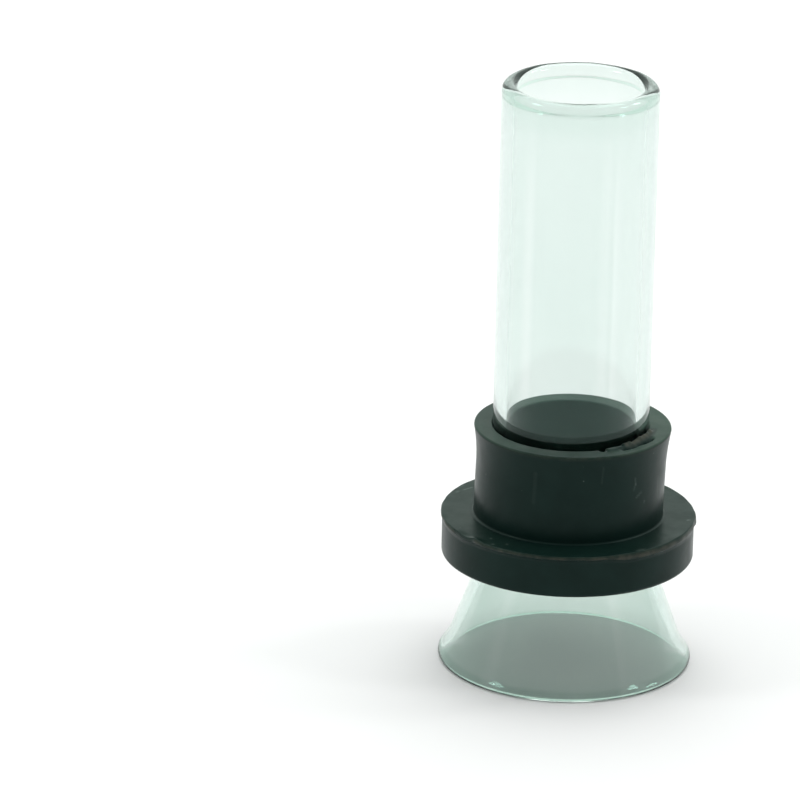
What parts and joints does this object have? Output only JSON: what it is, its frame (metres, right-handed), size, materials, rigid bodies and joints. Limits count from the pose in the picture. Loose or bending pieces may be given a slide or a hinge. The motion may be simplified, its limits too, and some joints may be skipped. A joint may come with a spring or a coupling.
{
  "type": "glass bell diffuser",
  "caption": "Clear glass tube opened out into a conical bell, with a flanged black rubber grommet that slides along the tube and seats on the bell's neck.",
  "frame": {"origin": "centre of the bell's rim, in the plane that the object stands on", "axes": "+Z along the tube's axis, from the bell to the plain end; X and Y are free because the object is turned"},
  "size_m": [0.0198, 0.0198, 0.0466],
  "materials": {
    "clear_glass": "clear borosilicate glass with a faint green tint, fire-polished at the plain end",
    "black_rubber": "semi-matt moulded black rubber with fine scuffs and a thin flash line"
  },
  "bodies": {
    "glass": {"glass_bell_tube": "clear_glass"},
    "grommet": {"rubber_grommet": "black_rubber"}
  },
  "joints": [
    {"name": "grommet_slide", "type": "slide", "parent": "glass", "child": "grommet", "axis": [0, 0, 1], "range_m": [0, 0.04]}
  ]
}
